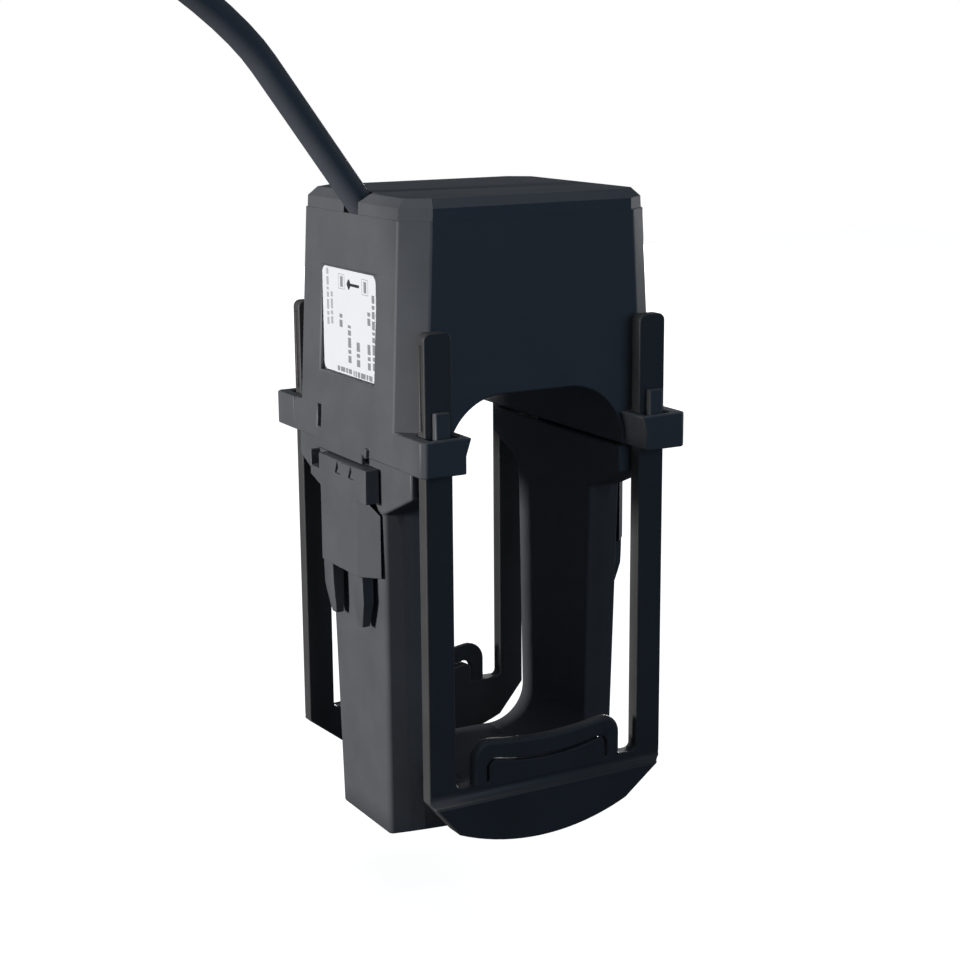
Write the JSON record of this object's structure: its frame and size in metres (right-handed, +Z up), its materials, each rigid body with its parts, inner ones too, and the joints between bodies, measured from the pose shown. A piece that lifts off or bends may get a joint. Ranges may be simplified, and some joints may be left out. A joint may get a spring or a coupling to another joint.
{
  "type": "split-core current transformer",
  "caption": "Box-shaped current transformer that opens round a conductor: upper housing with cable, detachable U-shaped yoke, snap latches and sliding clamps.",
  "frame": {"origin": "centre of the base of the box round the whole object without its cable, where the foot of the yoke stands", "axes": "+Z up from the foot of the yoke to the cover, +Y along the conductor, +X across the window from latch to latch"},
  "size_m": [0.241, 0.086, 0.195],
  "materials": {
    "grey_plastic": "fine matt moulding texture",
    "black_plastic": "fine matt moulding texture",
    "core_steel": "wound and cut strip",
    "spring_steel": "plain strip",
    "former_plastic": "plain moulding",
    "copper_wire": "enamelled wire",
    "tape": "wound tape",
    "soft_rubber": "matt",
    "label_film": "satin white film",
    "cable_sheath": "smooth sheath",
    "shrink_sleeve": "shrunk sleeve",
    "brown_wire": "smooth insulation",
    "blue_wire": "smooth insulation",
    "tinned_metal": "tinned tube"
  },
  "bodies": {
    "upper_half": {"housing": "grey_plastic", "housing_cover": "grey_plastic", "upper_core": "core_steel", "coil_former": "former_plastic", "secondary_winding": "copper_wire", "winding_wrap": "tape", "winding_leads": "copper_wire", "strain_relief": "soft_rubber", "rating_label": "label_film", "cable": "cable_sheath", "cable_coil": "cable_sheath", "cable_tail": "cable_sheath", "cable_sleeve": "shrink_sleeve", "brown_core": "brown_wire", "blue_core": "blue_wire", "core_ferrules": "tinned_metal"},
    "yoke": {"yoke_housing": "grey_plastic", "foot_plate": "grey_plastic", "core_spring": "spring_steel", "lower_core": "core_steel"},
    "front_clamp": {"front_clamp": "black_plastic"},
    "rear_clamp": {"rear_clamp": "black_plastic"},
    "left_latch": {"left_latch": "grey_plastic"},
    "right_latch": {"right_latch": "grey_plastic"}
  },
  "joints": [
    {"name": "yoke_slide", "type": "slide", "parent": "upper_half", "child": "yoke", "axis": [0, 0, -1], "range_m": [0, 0.014]},
    {"name": "front_clamp_slide", "type": "slide", "parent": "upper_half", "child": "front_clamp", "axis": [0, 0, 1], "range_m": [0, 0.064]},
    {"name": "rear_clamp_slide", "type": "slide", "parent": "upper_half", "child": "rear_clamp", "axis": [0, 0, 1], "range_m": [0, 0.064]},
    {"name": "left_latch_press", "type": "hinge", "parent": "yoke", "child": "left_latch", "pos_m": [-0.03035, 0, 0.066], "axis": [0, -1, 0], "range_deg": [0, 2], "stiffness_Nm_per_rad": 1.2},
    {"name": "right_latch_press", "type": "hinge", "parent": "yoke", "child": "right_latch", "pos_m": [0.03035, 0, 0.066], "axis": [0, 1, 0], "range_deg": [0, 2], "stiffness_Nm_per_rad": 1.2}
  ]
}
